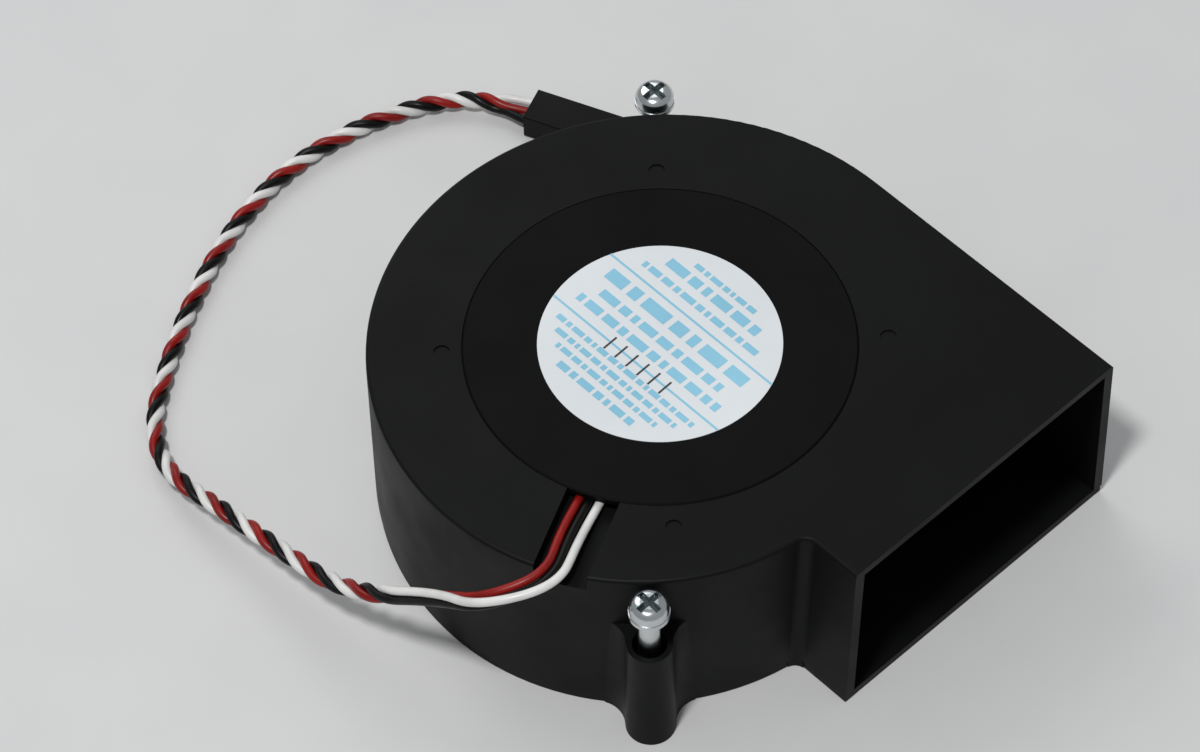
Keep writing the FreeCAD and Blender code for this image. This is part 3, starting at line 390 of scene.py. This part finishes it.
def heading(points, i):
    return (points[min(i + 1, len(points) - 1)] - points[max(i - 1, 0)]).normalized()


def smooth(x):
    x = min(max(x, 0), 1)
    return x * x * (3 - 2 * x)


def twisted(phase, slot_place):
    """The line of one wire through the twist, which winds up at its start and fans out into the plug."""
    middle, step = evenly(follow(TWISTED_ROUTE), ROUTE_STEP)
    total = step * (len(middle) - 1)
    turn, points = math.radians(phase), []
    for i, place in enumerate(middle):
        along = i * step
        ahead = heading(middle, i)
        side = Vector((-ahead.y, ahead.x, 0)).normalized()
        up = ahead.cross(side)
        wound = side * math.cos(turn) + up * math.sin(turn)
        fan = smooth((along - (total - FAN_OUT)) / FAN_OUT)
        spread = side * (slot_place * ENTRY_SPACING)
        points.append(place + wound * STRAND_OFFSET * (1 - fan) + spread * fan)
        rate = smooth(along / WIND_UP + WIND_UP_START) * (1 - fan)
        pitch = TWIST_PITCH * (1 + LOOSENING * (1 - smooth(along / LOOSE_LENGTH)))
        turn += 2 * math.pi * step / pitch * rate
    return points


def wire_path(route, phase, slot_place):
    """The smoothed line of one wire, from its exit through the twist to the plug."""
    start = evenly(follow(route), ROUTE_STEP)[0]
    path = evenly(start[:-1] + twisted(phase, slot_place), WIRE_STEP)[0]
    for _ in range(SMOOTHING_PASSES):
        path = (
            path[:1]
            + [(a + b * 2 + c) / 4 for a, b, c in zip(path, path[1:], path[2:])]
            + path[-1:]
        )
    return path


def tube(name, path):
    """A round, closed tube along a line."""
    form = bmesh.new()
    normal = heading(path, 0).orthogonal().normalized()
    before = None
    for i, place in enumerate(path):
        ahead = heading(path, i)
        normal = (normal - ahead * normal.dot(ahead)).normalized()
        across = ahead.cross(normal)
        ring = []
        for k in range(WIRE_SIDES):
            angle = 2 * math.pi * k / WIRE_SIDES
            offset = normal * math.cos(angle) + across * math.sin(angle)
            ring.append(form.verts.new(place + offset * WIRE_RADIUS))
        if before:
            for k in range(WIRE_SIDES):
                after = (k + 1) % WIRE_SIDES
                form.faces.new((before[k], before[after], ring[after], ring[k]))
        else:
            form.faces.new(list(reversed(ring)))
        before = ring
    form.faces.new(before)
    mesh = bpy.data.meshes.new(name)
    form.normal_update()
    form.to_mesh(mesh)
    form.free()
    for face in mesh.polygons:
        face.use_smooth = True
    return mesh


def add_wire(name, route, phase, slot_place):
    path = wire_path(route, phase, slot_place)
    made = new_object(name, tube(name, path), name)
    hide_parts(name.replace("_wire", "_lead"), "twisted_lead")


# Label print
def add_print(name, finish, strokes, height):
    """Flat strokes; each is (x, y, length, width, slant in degrees) in millimetres, from its left end."""
    form = bmesh.new()
    for x, y, length, width, slant in strokes:
        along = Vector((math.cos(math.radians(slant)), math.sin(math.radians(slant)), 0))
        across = Vector((-along.y, along.x, 0)) * width / 2
        start = Vector((x, y, 0))
        end = start + along * length
        corners = (start - across, end - across, end + across, start + across)
        form.faces.new([form.verts.new((c.x * MM, c.y * MM, height)) for c in corners])
    mesh = bpy.data.meshes.new(name)
    form.to_mesh(mesh)
    form.free()
    return new_object(name, mesh, finish)


def add_label_print():
    """Two rules and rows of plain blocks, and a row of stamped ticks."""
    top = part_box("label")[1][2]
    strokes = list(LABEL_RULES)
    for row, (middle, tall, half) in enumerate(LABEL_ROWS):
        left, step = -half, row * 2
        while left < half - tall * SHORTEST_BLOCK:
            length = min(tall * BLOCK_LENGTHS[step % len(BLOCK_LENGTHS)], half - left)
            strokes.append((left, middle, length, tall, 0))
            left += length + tall * BLOCK_GAP
            step += 1
    add_print("label_print", "label_ink", strokes, top + PRINT_LIFT)
    add_print("label_stamp", "stamp_ink", STAMP_TICKS, top + STAMP_LIFT)


def add_recess_shade(side):
    """A dark sheet of painted shade in the screw's cross recess, a little above its floor."""
    low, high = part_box(side + "_screw")
    middle = (low + high) / 2
    a, b = RECESS_LENGTH / 2, RECESS_WIDTH / 2
    quarter = [Vector((b, b, 0)), Vector((b, a, 0)), Vector((-b, a, 0))]
    corners = []
    for turn in range(4):
        corners += [Matrix.Rotation(turn * math.pi / 2, 3, "Z") @ c for c in quarter]
    mesh = bpy.data.meshes.new(side + "_recess_shade")
    level = high.z - RECESS_SHADE
    mesh.from_pydata([(middle.x + c.x, middle.y + c.y, level) for c in corners], [], [range(12)])
    # The painted shade rides on the screw's body
    new_object(side + "_recess_shade", mesh, "recess_shade", side + "_screw_set")


def add_floor():
    mesh = bpy.data.meshes.new("floor")
    signs = ((-1, -1), (1, -1), (1, 1), (-1, 1))
    corners = [(x * FLOOR_REACH, y * FLOOR_REACH, -FLOOR_DROP) for x, y in signs]
    mesh.from_pydata(corners, [], [range(4)])
    new_object("floor", mesh, "floor", None)


def add_light():
    world = bpy.data.worlds.new("studio")
    world.use_nodes = True
    world.node_tree.nodes["Background"].inputs["Color"].default_value = (0.95, 0.97, 1, 1)
    world.node_tree.nodes["Background"].inputs["Strength"].default_value = 0.36
    bpy.context.scene.world = world
    add_lamp("key", (0.17, -0.46, 1.25), (0, 0, 0), 0.16, 10.5)
    add_lamp("fill", (-0.9, 0.3, 0.9), (0, 0, 0), 0.9, 3.8)


add_camera()
finish_nodes()
even_triangles("housing")
add_wire("red_wire", RED_ROUTE, 210, 0)
add_wire("black_wire", BLACK_ROUTE, 330, -1)
add_wire("white_wire", WHITE_ROUTE, 90, 1)
add_label_print()
for side in ("front", "back"):
    add_recess_shade(side)
add_floor()
add_light()
bpy.context.scene.view_settings.view_transform = "Standard"
